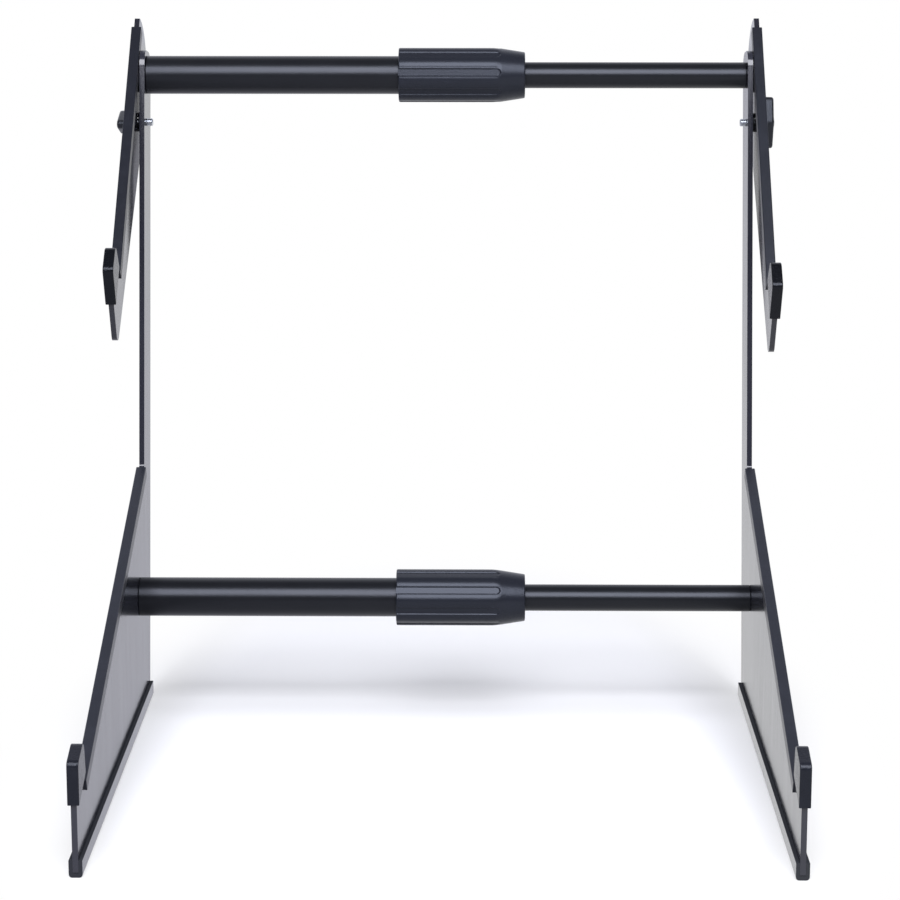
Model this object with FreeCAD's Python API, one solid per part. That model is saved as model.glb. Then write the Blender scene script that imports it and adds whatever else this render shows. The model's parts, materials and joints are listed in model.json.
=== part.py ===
"""Two-tier desktop stand: two steel side panels joined by two telescopic cross tubes.

The right side slides on the tubes, a twist-lock collar on each tube holds the width, and an arm on
each upright tilts about the upper tube's axis and is held by a clamp knob in a curved slot.
Millimetres and degrees. X runs from left to right, Y from front to back and Z up. The origin is on
the floor, under the middle of the stand's box.
"""

import FreeCAD, Part
import math
import os

# Side panels
inner_width = 380.0
plate = 3.2
base_depth = 300.0
upright_width = 30.0
upright_lean = 10.0
upright_head = 15.0
upright_corner = 10.0
panel_corner = 0.6
step_corner = 2.5

# Trays and hooks
tray_angle = 21.8
tray_root_height = 43.0
hook_reach = 23.0
hook_angle = 80.0
hook_root_radius = 1.5
lip_height = 25.4
lip_shoulder = 27.0
lip_tip_radius = 4.0
lip_shoulder_radius = 2.5

# Rubber trims, caps and feet
rubber_clearance = 0.05
trim_wall = 1.5
trim_top = 1.5
trim_depth = 5.5
trim_edge_radius = 0.6
trim_root_gap = 2.0
trim_step_gap = 3.0
cap_wall = 1.6
cap_start = 7.0
cap_edge_radius = 0.6
foot_wall = 2.1
foot_floor = 2.5
foot_height = 9.5
foot_edge_radius = 2.0

# Cross tubes
outer_tube_diameter = 24.0
inner_tube_diameter = 16.5
tube_wall = 1.5
outer_tube_length = 200.0
inner_tube_length = 270.0
pivot_height = 394.0
lower_tube_height = 76.0
lower_tube_setback = 265.0
plug_length = 15.0
glide_length = 18.0
press_clearance = 0.05
slide_clearance = 0.1

# Twist-lock clutch
collar_start = 160.0
collar_length = 80.0
collar_diameter = 35.0
collar_mouth_diameter = 29.0
collar_taper_length = 19.0
collar_edge = 0.8
collar_skirt_clearance = 0.3
collar_mouth_clearance = 0.4
collar_cone_clearance = 0.3
collar_end_play = 2.0
rib_count = 8
groove_width = 5.5
groove_depth = 1.2
groove_overrun = 4.0
upper_groove_angle = 6.5
lower_groove_angle = 15.0
ferrule_spigot_length = 20.0
ferrule_boss_diameter = 27.5
ferrule_boss_length = 16.0
collet_length = 16.0
collet_back_diameter = 25.0
collet_front_diameter = 20.5
collet_slit_count = 4
collet_slit_width = 1.2
collet_land = 3.0

# Bolts and washers
bolt_diameter = 6.0
bolt_head_diameter = 11.0
bolt_head_height = 3.2
bolt_socket_across = 4.0
bolt_socket_depth = 2.0
bolt_engagement = 12.0
bolt_hole_clearance = 0.2
pivot_clearance = 0.1
face_clearance = 0.1
washer_thickness = 1.8
friction_washer_diameter = 22.0
spacer_diameter = 12.0

# Tilting arms
left_arm_tilt = 49.0
right_arm_tilt = 53.0
least_arm_tilt = 20.0
most_arm_tilt = 70.0
arm_tray_offset = 17.1
arm_tray_reach = 161.5
arm_front_angle = 64.0
arm_tip_drop = 21.8
arm_tip_radius = 6.0
arm_trim_end = 24.0

# Clamp knobs
stud_diameter = 5.0
stud_drop = 30.0
stud_proud = 3.5
stud_chamfer = 0.6
stud_embedded = 6.0
slot_clearance = 0.4
slot_land = 3.1
knob_hub_diameter = 15.0
knob_length = 33.0
knob_tip_diameter = 6.5
knob_thickness = 9.0
knob_edge_radius = 1.4
knob_crown_diameter = 11.0
knob_crown_height = 0.9
left_knob_turn = 0.0
right_knob_turn = 90.0

# Places that follow from the sizes
half_width = inner_width / 2
outer_bore = outer_tube_diameter - 2 * tube_wall
inner_bore = inner_tube_diameter - 2 * tube_wall
arm_inner_face = half_width + plate + washer_thickness + face_clearance
knob_inner_face = arm_inner_face + plate + face_clearance
slot_half_width = stud_diameter / 2 + slot_clearance
quadrant_radius = stud_drop + slot_half_width + slot_land
lean_sine = math.sin(math.radians(upright_lean))
lean_cosine = math.cos(math.radians(upright_lean))
pivot_rise = (pivot_height - foot_floor - upright_width / 2 * lean_sine) / lean_cosine
pivot_setback = base_depth + pivot_rise * lean_sine - upright_width / 2 * lean_cosine
front_y = cap_wall - (cap_wall + pivot_setback + quadrant_radius) / 2
pivot_y = front_y + pivot_setback
lower_tube_y = front_y + lower_tube_setback
stud_y = pivot_y - stud_drop * lean_sine
stud_height = pivot_height - stud_drop * lean_cosine
root_y = front_y + hook_reach
x_axis = FreeCAD.Vector(1, 0, 0)
z_axis = FreeCAD.Vector(0, 0, 1)
LEFT = -1
RIGHT = 1


def flat(y, z):
    """A point in the YZ plane."""
    return FreeCAD.Vector(0, y, z)


def polar(radius, angle):
    """(y, z) at a distance and an angle from the origin, counted from +Y towards +Z."""
    turn = math.radians(angle)
    return radius * math.cos(turn), radius * math.sin(turn)


def outline(corners):
    """A face in the YZ plane. A corner is (y, z, radius), or (y, z, 0, through) before an arc."""
    points = [flat(corner[0], corner[1]) for corner in corners]
    entries = []
    exits = []
    edges = []
    for index, corner in enumerate(corners):
        here = points[index]
        radius = corner[2]
        if radius == 0:
            entries.append(here)
            exits.append(here)
            continue
        back = (points[index - 1] - here).normalize()
        ahead = (points[(index + 1) % len(points)] - here).normalize()
        half_angle = back.getAngle(ahead) / 2
        inward = (back + ahead).normalize()
        to_arc = radius / math.sin(half_angle) - radius
        entries.append(here + back * (radius / math.tan(half_angle)))
        exits.append(here + ahead * (radius / math.tan(half_angle)))
        edges.append(Part.Arc(entries[-1], here + inward * to_arc, exits[-1]).toShape())
    for index, corner in enumerate(corners):
        start = exits[index]
        end = entries[(index + 1) % len(entries)]
        if len(corner) > 3:
            edges.append(Part.Arc(start, flat(*corner[3]), end).toShape())
        else:
            edges.append(Part.LineSegment(start, end).toShape())
    return Part.Face(Part.Wire(Part.__sortEdges__(edges)))


def slab(face, thickness):
    """A face of the YZ plane given a thickness along X, from x = 0."""
    return face.extrude(x_axis * thickness)


def on_side(shape, side, inner, thickness):
    """Moves a shape of that thickness so that its inner face is at that distance from the middle."""
    shape = shape.copy()
    shape.translate(x_axis * (inner if side == RIGHT else -inner - thickness))
    return shape


def tilted(shape, angle, y, z):
    """Turns a shape about X and moves its origin to (y, z)."""
    shape = shape.copy()
    shape.rotate(flat(0, 0), x_axis, angle)
    shape.translate(flat(y, z))
    return shape


def turned(profile, y=0, z=0):
    """Revolves (x, radius) points about an X axis through (y, z)."""
    points = [FreeCAD.Vector(x, 0, radius) for x, radius in profile]
    face = Part.Face(Part.makePolygon(points + points[:1]))
    solid = face.revolve(flat(0, 0), x_axis, 360)
    solid.translate(flat(y, z))
    return solid


def rod(start, length, diameter, y, z):
    """A cylinder along X."""
    return Part.makeCylinder(diameter / 2, length, flat(y, z) + x_axis * start, x_axis)


def ring(start, length, diameter, bore, y, z):
    """A plain sleeve along X."""
    return rod(start, length, diameter, y, z).cut(rod(start, length, bore, y, z))


def edges_near(shape, x=None, y=None, z=None):
    """The edges whose middle has the given coordinates."""
    wanted = {"x": x, "y": y, "z": z}
    found = []
    for edge in shape.Edges:
        middle = edge.BoundBox.Center
        gaps = [abs(getattr(middle, name) - value) for name, value in wanted.items() if value is not None]
        if max(gaps) < rubber_clearance:
            found.append(edge)
    return found


def tray_point(along, above):
    """(y, z) of a point given along the base's tray line and square to it, from the hook's root."""
    turn = math.radians(tray_angle)
    y = root_y + along * math.cos(turn) - above * math.sin(turn)
    z = tray_root_height + along * math.sin(turn) + above * math.cos(turn)
    return y, z


def front_at(above, front_angle):
    """Where the front edge is, along the tray line, at a height square to that line."""
    turn = math.radians(front_angle)
    return above / math.tan(turn) - hook_reach / math.sin(turn)


def back_at(above):
    """Where the lip's rear face is, along the tray line, at a height square to that line."""
    return above / math.tan(math.radians(hook_angle))


def panel_outline():
    """Base, hook and upright of one side panel."""
    foot_y = front_y + base_depth
    tray_cosine = math.cos(math.radians(tray_angle))
    tray_sine = math.sin(math.radians(tray_angle))
    to_foot_y = root_y - foot_y
    to_foot_z = tray_root_height - foot_floor
    root_offset = to_foot_y * lean_cosine - to_foot_z * lean_sine
    tray_run = tray_cosine * lean_cosine - tray_sine * lean_sine
    step_along = (-upright_width - root_offset) / tray_run
    head_rise = pivot_rise + upright_head
    head_y = foot_y + head_rise * lean_sine
    head_z = foot_floor + head_rise * lean_cosine
    front_head_y = head_y - upright_width * lean_cosine
    front_head_z = head_z + upright_width * lean_sine
    corners = [
        (front_y, foot_floor, panel_corner),
        (foot_y, foot_floor, panel_corner),
        (head_y, head_z, upright_corner),
        (front_head_y, front_head_z, upright_corner),
        (*tray_point(step_along, 0), step_corner),
        (root_y, tray_root_height, hook_root_radius),
        (*tray_point(back_at(lip_height), lip_height), lip_tip_radius),
        (*tray_point(front_at(lip_shoulder, 90 - tray_angle), lip_shoulder), lip_shoulder_radius),
    ]
    return outline(corners), step_along


def panel(side):
    """One side panel with its bolt holes and the tapped hole of the clamp screw."""
    solid = on_side(slab(panel_outline()[0], plate), side, half_width, plate)
    reach = 2 * (half_width + plate)
    bolt_hole = bolt_diameter + 2 * bolt_hole_clearance
    stud_hole = stud_diameter + 2 * press_clearance
    solid = solid.cut(rod(-reach / 2, reach, bolt_hole, pivot_y, pivot_height))
    solid = solid.cut(rod(-reach / 2, reach, bolt_hole, lower_tube_y, lower_tube_height))
    return solid.cut(rod(-reach / 2, reach, stud_hole, stud_y, stud_height))


def strip(start, end, wall, below, above, edge_radius):
    """A U strip over a plate's edge, along Y, with the plate's edge at z = 0 and its face at x = wall."""
    width = plate + 2 * wall
    solid = Part.makeBox(width, end - start, below + above, FreeCAD.Vector(0, start, -below))
    rims = edges_near(solid, x=0, z=above) + edges_near(solid, x=width, z=above)
    solid = solid.makeFillet(edge_radius, rims)
    groove = Part.makeBox(
        plate + 2 * rubber_clearance,
        end - start,
        below,
        FreeCAD.Vector(wall - rubber_clearance, start, -below),
    )
    return solid.cut(groove)


def trim(start, end):
    """The rubber strip on a tray edge."""
    return strip(start, end, trim_wall, trim_depth, trim_top, trim_edge_radius)


def foot(side):
    """The rubber channel under a panel, its floor on the table."""
    solid = strip(-base_depth, 0, foot_wall, foot_height - foot_floor, foot_floor, foot_edge_radius)
    solid.rotate(flat(0, 0), x_axis, 180)
    solid.translate(flat(front_y, foot_floor))
    return on_side(solid, side, half_width - foot_wall, plate + 2 * foot_wall)


def lip_face(front_angle, start, margin):
    """The lip above a height square to the tray line, grown by a margin."""
    corners = [
        (front_at(start, front_angle), start, 0),
        (front_at(lip_shoulder, front_angle), lip_shoulder, lip_shoulder_radius),
        (back_at(lip_height), lip_height, lip_tip_radius),
        (back_at(start), start, 0),
    ]
    return outline(corners).makeOffset2D(margin)


def hook_cap(front_angle):
    """The rubber sleeve on a lip, from the hook's root, with its plate from x = cap_wall."""
    width = plate + 2 * cap_wall
    below = cap_start - 2 * cap_wall
    sleeve = slab(lip_face(front_angle, below, cap_wall), width)
    size = 2 * (lip_height + hook_reach)
    room = Part.makeBox(width, size, size, FreeCAD.Vector(0, -size / 2, cap_start))
    sleeve = sleeve.common(room)
    rims = [
        edge
        for edge in edges_near(sleeve, x=0) + edges_near(sleeve, x=width)
        if edge.BoundBox.ZMax > cap_start + rubber_clearance
    ]
    sleeve = sleeve.makeFillet(cap_edge_radius, rims)
    pocket = slab(lip_face(front_angle, below, rubber_clearance), plate + 2 * rubber_clearance)
    pocket.translate(x_axis * (cap_wall - rubber_clearance))
    return sleeve.cut(pocket)


def tray_trim(side):
    """The trim on a panel's tray edge."""
    end = panel_outline()[1] - trim_step_gap
    solid = tilted(trim(trim_root_gap, end), tray_angle, root_y, tray_root_height)
    return on_side(solid, side, half_width - trim_wall, plate + 2 * trim_wall)


def panel_cap(side):
    """The cap on a panel's hook."""
    solid = tilted(hook_cap(90 - tray_angle), tray_angle, root_y, tray_root_height)
    return on_side(solid, side, half_width - cap_wall, plate + 2 * cap_wall)


def arm_outline():
    """An arm about its pivot, with its tray line along Y: hook, tapering web and round quadrant."""
    tip_along = front_at(-arm_tip_drop, arm_front_angle) - arm_tray_reach
    tip_above = arm_tray_offset - arm_tip_drop
    tip_angle = math.degrees(math.atan2(tip_above, tip_along)) % 360
    tangent_angle = tip_angle + math.degrees(math.acos(quadrant_radius / math.hypot(tip_along, tip_above)))
    end_angle = 360 + math.degrees(math.asin(arm_tray_offset / quadrant_radius))
    far_side = polar(quadrant_radius, (tangent_angle + end_angle) / 2)
    shoulder = front_at(lip_shoulder, arm_front_angle) - arm_tray_reach
    corners = [
        (-arm_tray_reach, arm_tray_offset, hook_root_radius),
        (back_at(lip_height) - arm_tray_reach, arm_tray_offset + lip_height, lip_tip_radius),
        (shoulder, arm_tray_offset + lip_shoulder, lip_shoulder_radius),
        (tip_along, tip_above, arm_tip_radius),
        (*polar(quadrant_radius, tangent_angle), 0, far_side),
        (*polar(quadrant_radius, end_angle), 0),
    ]
    return outline(corners)


def arm_slot():
    """The curved slot that the clamp screw runs in, between the arm's two end tilts."""
    stud_angle = 270 - upright_lean
    first = stud_angle - most_arm_tilt
    last = stud_angle - least_arm_tilt
    middle = (first + last) / 2
    far = stud_drop + slot_half_width
    near = stud_drop - slot_half_width
    cap_step = math.degrees(slot_half_width / stud_drop)
    corners = [
        (*polar(far, first), 0, polar(far, middle)),
        (*polar(far, last), 0, polar(stud_drop, last + cap_step)),
        (*polar(near, last), 0, polar(near, middle)),
        (*polar(near, first), 0, polar(stud_drop, first - cap_step)),
    ]
    return outline(corners)


def arm(side, tilt):
    """One tilting arm plate with its pivot hole and slot."""
    hole = bolt_diameter + 2 * pivot_clearance
    solid = slab(arm_outline(), plate).cut(slab(arm_slot(), plate))
    solid = solid.cut(rod(0, plate, hole, 0, 0))
    return on_side(tilted(solid, tilt, pivot_y, pivot_height), side, arm_inner_face, plate)


def arm_trim(side, tilt):
    """The trim on an arm's tray edge."""
    solid = trim(trim_root_gap - arm_tray_reach, arm_trim_end)
    solid.translate(flat(0, arm_tray_offset))
    solid = tilted(solid, tilt, pivot_y, pivot_height)
    return on_side(solid, side, arm_inner_face - trim_wall, plate + 2 * trim_wall)


def arm_cap(side, tilt):
    """The cap on an arm's hook."""
    solid = hook_cap(arm_front_angle)
    solid.translate(flat(-arm_tray_reach, arm_tray_offset))
    solid = tilted(solid, tilt, pivot_y, pivot_height)
    return on_side(solid, side, arm_inner_face - cap_wall, plate + 2 * cap_wall)


def plug(side, bore, y, z):
    """The threaded plug in a tube's end at a panel."""
    outer = bore - 2 * press_clearance
    hole = bolt_diameter + 2 * press_clearance
    return on_side(ring(0, plug_length, outer, hole, y, z), side, half_width - plug_length, plug_length)


def bolt(side, seat, y, z):
    """A dome-head bolt through a panel into its plug, with its head's flat face at that distance."""
    head_radius = bolt_head_diameter / 2
    dome_radius = (head_radius**2 + bolt_head_height**2) / (2 * bolt_head_height)
    dome_centre = bolt_head_height - dome_radius
    half_turn = math.asin(head_radius / dome_radius) / 2
    middle_x = dome_centre + dome_radius * math.cos(half_turn)
    middle = FreeCAD.Vector(middle_x, 0, dome_radius * math.sin(half_turn))
    rim = flat(0, head_radius)
    top = x_axis * bolt_head_height
    edges = [
        Part.LineSegment(flat(0, 0), rim).toShape(),
        Part.Arc(rim, middle, top).toShape(),
        Part.LineSegment(top, flat(0, 0)).toShape(),
    ]
    head = Part.Face(Part.Wire(edges)).revolve(flat(0, 0), x_axis, 360)
    socket_radius = bolt_socket_across / 2 / math.cos(math.radians(30))
    hexagon = [(*polar(socket_radius, 60 * corner), 0) for corner in range(6)]
    socket = slab(outline(hexagon), bolt_socket_depth)
    socket.translate(x_axis * (bolt_head_height - bolt_socket_depth))
    length = seat - half_width + bolt_engagement
    solid = head.fuse(rod(-length, length, bolt_diameter, 0, 0)).removeSplitter().cut(socket)
    if side == LEFT:
        solid.rotate(flat(0, 0), z_axis, 180)
    solid.translate(flat(y, z) + x_axis * (side * seat))
    return solid


def washer(side, diameter, hole, y, z):
    """A flat washer on a panel's outer face."""
    solid = ring(0, washer_thickness, diameter, hole, y, z)
    return on_side(solid, side, half_width + plate, washer_thickness)


def outer_tube(y, z):
    """The thicker tube, from the left panel's inner face."""
    return ring(-half_width, outer_tube_length, outer_tube_diameter, outer_bore, y, z)


def inner_tube(y, z):
    """The thinner tube, from the right panel's inner face into the thicker one."""
    start = half_width - inner_tube_length
    return ring(start, inner_tube_length, inner_tube_diameter, inner_bore, y, z)


def glide(y, z):
    """The sleeve that centres the thinner tube's hidden end."""
    start = half_width - inner_tube_length
    outer = outer_bore - 2 * slide_clearance
    return ring(start, glide_length, outer, inner_tube_diameter + 2 * press_clearance, y, z)


def ferrule(y, z):
    """The bush in the thicker tube's open end: a spigot in the tube and a boss for the collar."""
    spigot = outer_bore / 2 - press_clearance
    boss = ferrule_boss_diameter / 2
    hole = inner_tube_diameter / 2 + slide_clearance
    profile = [
        (-ferrule_spigot_length, hole),
        (-ferrule_spigot_length, spigot),
        (0, spigot),
        (0, boss),
        (ferrule_boss_length, boss),
        (ferrule_boss_length, hole),
    ]
    solid = turned(profile, y, z)
    solid.translate(x_axis * (outer_tube_length - half_width))
    return solid


def collet(y, z):
    """The split tapered ring against the ferrule: one full slit and kerfs open to the front."""
    hole = inner_tube_diameter / 2 + slide_clearance
    profile = [
        (0, hole),
        (0, collet_back_diameter / 2),
        (collet_length, collet_front_diameter / 2),
        (collet_length, hole),
    ]
    solid = turned(profile)
    for index in range(collet_slit_count):
        start = 0 if index == 0 else collet_land
        corner = FreeCAD.Vector(start, -collet_slit_width / 2, 0)
        kerf = Part.makeBox(collet_length - start, collet_slit_width, collet_back_diameter, corner)
        kerf.rotate(flat(0, 0), x_axis, index * 360 / collet_slit_count)
        solid = solid.cut(kerf)
    solid.translate(flat(y, z) + x_axis * (outer_tube_length + ferrule_boss_length - half_width))
    return solid


def collar_groove(radius, straight):
    """The room of one grip groove on top of a collar: a flat slot with a round end on the taper."""
    half = groove_width / 2
    groove_floor = radius - groove_depth
    height = 2 * groove_depth
    end = straight + groove_overrun - half
    corner = FreeCAD.Vector(-groove_width, -half, groove_floor)
    bar = Part.makeBox(end + groove_width, groove_width, height, corner)
    tip = Part.makeCylinder(half, height, FreeCAD.Vector(end, 0, groove_floor), z_axis)
    return bar.fuse(tip).removeSplitter()


def collar(y, z, groove_angle):
    """The ribbed twist-lock collar: skirt over the tube, thread room, clamping cone and mouth.

    One of its grooves is at that angle above the front.
    """
    radius = collar_diameter / 2
    mouth = collar_mouth_diameter / 2
    skirt_bore = outer_tube_diameter / 2 + collar_skirt_clearance
    thread_bore = ferrule_boss_diameter / 2 + slide_clearance
    mouth_bore = inner_tube_diameter / 2 + collar_mouth_clearance
    boss_start = outer_tube_length - collar_start
    cone_start = boss_start + ferrule_boss_length
    cone_end = cone_start + collet_length + collar_cone_clearance
    cone_fall = (collet_back_diameter - collet_front_diameter) / 2 / collet_length
    cone_back = collet_back_diameter / 2 + collar_cone_clearance
    cone_front = cone_back - cone_fall * (cone_end - cone_start)
    straight = collar_length - collar_taper_length
    profile = [
        (0, skirt_bore),
        (0, radius - collar_edge),
        (collar_edge, radius),
        (straight, radius),
        (collar_length - collar_edge, mouth),
        (collar_length, mouth - collar_edge),
        (collar_length, mouth_bore),
        (cone_end, mouth_bore),
        (cone_end, cone_front),
        (cone_start + collar_cone_clearance, cone_back - cone_fall * collar_cone_clearance),
        (cone_start + collar_cone_clearance, thread_bore),
        (boss_start - collar_end_play, thread_bore),
        (boss_start - collar_end_play, skirt_bore),
    ]
    solid = turned(profile)
    cutter = collar_groove(radius, straight)
    grooves = []
    for index in range(rib_count):
        groove = cutter.copy()
        groove.rotate(flat(0, 0), x_axis, 90 - groove_angle + index * 360 / rib_count)
        grooves.append(groove)
    solid = solid.cut(grooves)
    solid.translate(flat(y, z) + x_axis * (collar_start - half_width))
    return solid


def knob_outline():
    """A hub with two tapering wings along Y: arcs joined by their common tangents."""
    hub = knob_hub_diameter / 2
    tip = knob_tip_diameter / 2
    reach = knob_length / 2 - tip
    lean = math.degrees(math.acos((hub - tip) / reach))
    tip_y, tip_z = polar(tip, lean)
    hub_y, hub_z = polar(hub, lean)
    corners = [
        (reach + tip_y, -tip_z, 0, (reach + tip, 0)),
        (reach + tip_y, tip_z, 0),
        (hub_y, hub_z, 0, (0, hub)),
        (-hub_y, hub_z, 0),
        (-reach - tip_y, tip_z, 0, (-reach - tip, 0)),
        (-reach - tip_y, -tip_z, 0),
        (-hub_y, -hub_z, 0, (0, -hub)),
        (hub_y, -hub_z, 0),
    ]
    return outline(corners)


def knob(side, turn):
    """A wing knob moulded on its screw, with a low crown on its hub."""
    body = slab(knob_outline(), knob_thickness)
    rims = [edge for edge in body.Edges if edge.BoundBox.XMin > knob_thickness - rubber_clearance]
    body = body.makeFillet(knob_edge_radius, rims)
    crown_radius = knob_crown_diameter / 2
    ball_radius = (crown_radius**2 + knob_crown_height**2) / (2 * knob_crown_height)
    ball_centre = knob_thickness + knob_crown_height - ball_radius
    ball = Part.makeSphere(ball_radius, x_axis * ball_centre)
    crown = ball.common(rod(stud_embedded, knob_thickness, knob_crown_diameter, 0, 0))
    body = body.fuse(crown).removeSplitter()
    body = body.cut(rod(0, stud_embedded, stud_diameter + 2 * press_clearance, 0, 0))
    body.rotate(flat(0, 0), x_axis, turn)
    if side == LEFT:
        body.rotate(flat(0, 0), z_axis, 180)
    body.translate(flat(stud_y, stud_height) + x_axis * (side * knob_inner_face))
    return body


def knob_stud(side):
    """The knob's screw, from inside the knob through arm and panel to its bare tip."""
    length = knob_inner_face + stud_embedded - half_width + stud_proud
    radius = stud_diameter / 2
    profile = [
        (0, 0),
        (0, radius - stud_chamfer),
        (stud_chamfer, radius),
        (length, radius),
        (length, 0),
    ]
    solid = turned(profile)
    if side == LEFT:
        solid.rotate(flat(0, 0), z_axis, 180)
    solid.translate(flat(stud_y, stud_height) + x_axis * (side * (half_width - stud_proud)))
    return solid


def tube_level(name, y, z, groove_angle):
    """The pieces on one cross tube's axis."""
    return {
        name + "_outer_tube": outer_tube(y, z),
        name + "_inner_tube": inner_tube(y, z),
        name + "_glide": glide(y, z),
        name + "_ferrule": ferrule(y, z),
        name + "_collet": collet(y, z),
        name + "_collar": collar(y, z, groove_angle),
        name + "_left_plug": plug(LEFT, outer_bore, y, z),
        name + "_right_plug": plug(RIGHT, inner_bore, y, z),
    }


def side_pieces(name, side, tilt, turn):
    """The pieces of one side, from the panel out to the knob."""
    spacer_hole = stud_diameter + 2 * bolt_hole_clearance
    washer_hole = bolt_diameter + 2 * bolt_hole_clearance
    pivot_seat = arm_inner_face + plate + face_clearance
    return {
        name + "_panel": panel(side),
        name + "_tray_trim": tray_trim(side),
        name + "_hook_cap": panel_cap(side),
        name + "_foot": foot(side),
        name + "_pivot_bolt": bolt(side, pivot_seat, pivot_y, pivot_height),
        name + "_lower_bolt": bolt(side, half_width + plate, lower_tube_y, lower_tube_height),
        name + "_friction_washer": washer(side, friction_washer_diameter, washer_hole, pivot_y, pivot_height),
        name + "_clamp_spacer": washer(side, spacer_diameter, spacer_hole, stud_y, stud_height),
        name + "_arm": arm(side, tilt),
        name + "_arm_trim": arm_trim(side, tilt),
        name + "_arm_cap": arm_cap(side, tilt),
        name + "_knob": knob(side, turn),
        name + "_knob_stud": knob_stud(side),
    }


def main():
    """Builds every piece and writes one file for each."""
    pieces = {}
    pieces.update(tube_level("upper", pivot_y, pivot_height, upper_groove_angle))
    pieces.update(tube_level("lower", lower_tube_y, lower_tube_height, lower_groove_angle))
    pieces.update(side_pieces("left", LEFT, left_arm_tilt, left_knob_turn))
    pieces.update(side_pieces("right", RIGHT, right_arm_tilt, right_knob_turn))
    os.makedirs("parts", exist_ok=True)
    for name, shape in pieces.items():
        shape.exportStep("parts/" + name + ".step")


main()
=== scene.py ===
"""Looks of a two-tier desktop stand: powder-coated panels, painted tubes, ribbed collars, rubber trims."""

import json
import math

import bpy
import numpy as np
from bpy.props import FloatProperty, FloatVectorProperty, IntProperty, PointerProperty
from bpy.types import Operator, Panel, PropertyGroup
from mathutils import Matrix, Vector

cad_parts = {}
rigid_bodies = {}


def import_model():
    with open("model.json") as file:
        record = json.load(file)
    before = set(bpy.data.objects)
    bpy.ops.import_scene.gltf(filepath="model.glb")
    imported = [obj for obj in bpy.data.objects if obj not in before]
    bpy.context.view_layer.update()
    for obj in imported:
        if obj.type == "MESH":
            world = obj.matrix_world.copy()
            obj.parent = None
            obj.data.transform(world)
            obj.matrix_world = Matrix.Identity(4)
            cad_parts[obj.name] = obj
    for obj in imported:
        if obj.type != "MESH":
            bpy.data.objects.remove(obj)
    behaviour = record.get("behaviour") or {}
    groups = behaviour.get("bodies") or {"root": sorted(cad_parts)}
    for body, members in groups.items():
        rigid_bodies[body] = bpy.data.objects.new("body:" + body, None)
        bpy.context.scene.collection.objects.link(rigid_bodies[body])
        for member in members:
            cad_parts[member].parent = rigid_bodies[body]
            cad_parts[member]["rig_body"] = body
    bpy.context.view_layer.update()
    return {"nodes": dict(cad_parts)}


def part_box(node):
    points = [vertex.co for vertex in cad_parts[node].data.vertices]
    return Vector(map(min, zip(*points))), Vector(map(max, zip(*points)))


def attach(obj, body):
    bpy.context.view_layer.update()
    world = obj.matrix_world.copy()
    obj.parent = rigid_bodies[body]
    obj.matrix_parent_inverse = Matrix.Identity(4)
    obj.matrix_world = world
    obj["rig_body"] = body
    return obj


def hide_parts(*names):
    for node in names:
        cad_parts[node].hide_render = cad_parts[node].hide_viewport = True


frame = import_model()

bl_info = {
    "name": "Desktop stand looks",
    "version": (1, 0, 0),
    "blender": (4, 5, 0),
    "location": "View3D > Sidebar > Stand",
    "description": "Builds the visible pieces and finishes of a two-tier desktop stand",
    "category": "Object",
}

SIDES = ("left", "right")
LEVELS = ("upper", "lower")
MM = 0.001
# degrees past which an edge between two faces is shaded sharp
SHARP = 35.0


def low(node):
    """Lowest corner of a CAD node as an array."""
    return np.array(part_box(node)[0])


def high(node):
    """Highest corner of a CAD node as an array."""
    return np.array(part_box(node)[1])


def axis_of(node):
    """A point of a round CAD node's X axis, at X = 0."""
    return (low(node) + high(node)) / 2 * (0.0, 1.0, 1.0)


def radius(node):
    """Radius of a round CAD node whose axis is along X."""
    return float((high(node) - low(node))[1] / 2)


def outwards(node):
    """Where a side's node begins on its axis, its length, and its direction away from the middle."""
    direction = math.copysign(1.0, low(node)[0])
    begin = low(node)[0] if direction > 0 else high(node)[0]
    return axis_of(node) + (begin, 0.0, 0.0), float((high(node) - low(node))[0]), direction


class Value:
    """A number socket in an expression: each operator adds one Math node."""

    def __init__(self, net, socket):
        self.net = net
        self.socket = socket

    def combine(self, operation, first, second):
        return self.net.add("Math", {"operation": operation}, {0: first, 1: second})

    def __add__(self, other):
        return self.combine("ADD", self, other)

    __radd__ = __add__

    def __sub__(self, other):
        return self.combine("SUBTRACT", self, other)

    def __rsub__(self, other):
        return self.combine("SUBTRACT", other, self)

    def __mul__(self, other):
        return self.combine("MULTIPLY", self, other)

    __rmul__ = __mul__

    def swing(self, amount):
        """A noise's departure from its middle, times an amount."""
        return (self - 0.5) * amount

    def between(self, start, end):
        """0 below start, 1 above end, smooth between them."""
        inputs = {"Value": self, "From Min": start, "From Max": end}
        return self.net.add("MapRange", {"interpolation_type": "SMOOTHSTEP"}, inputs, "Result")


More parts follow.
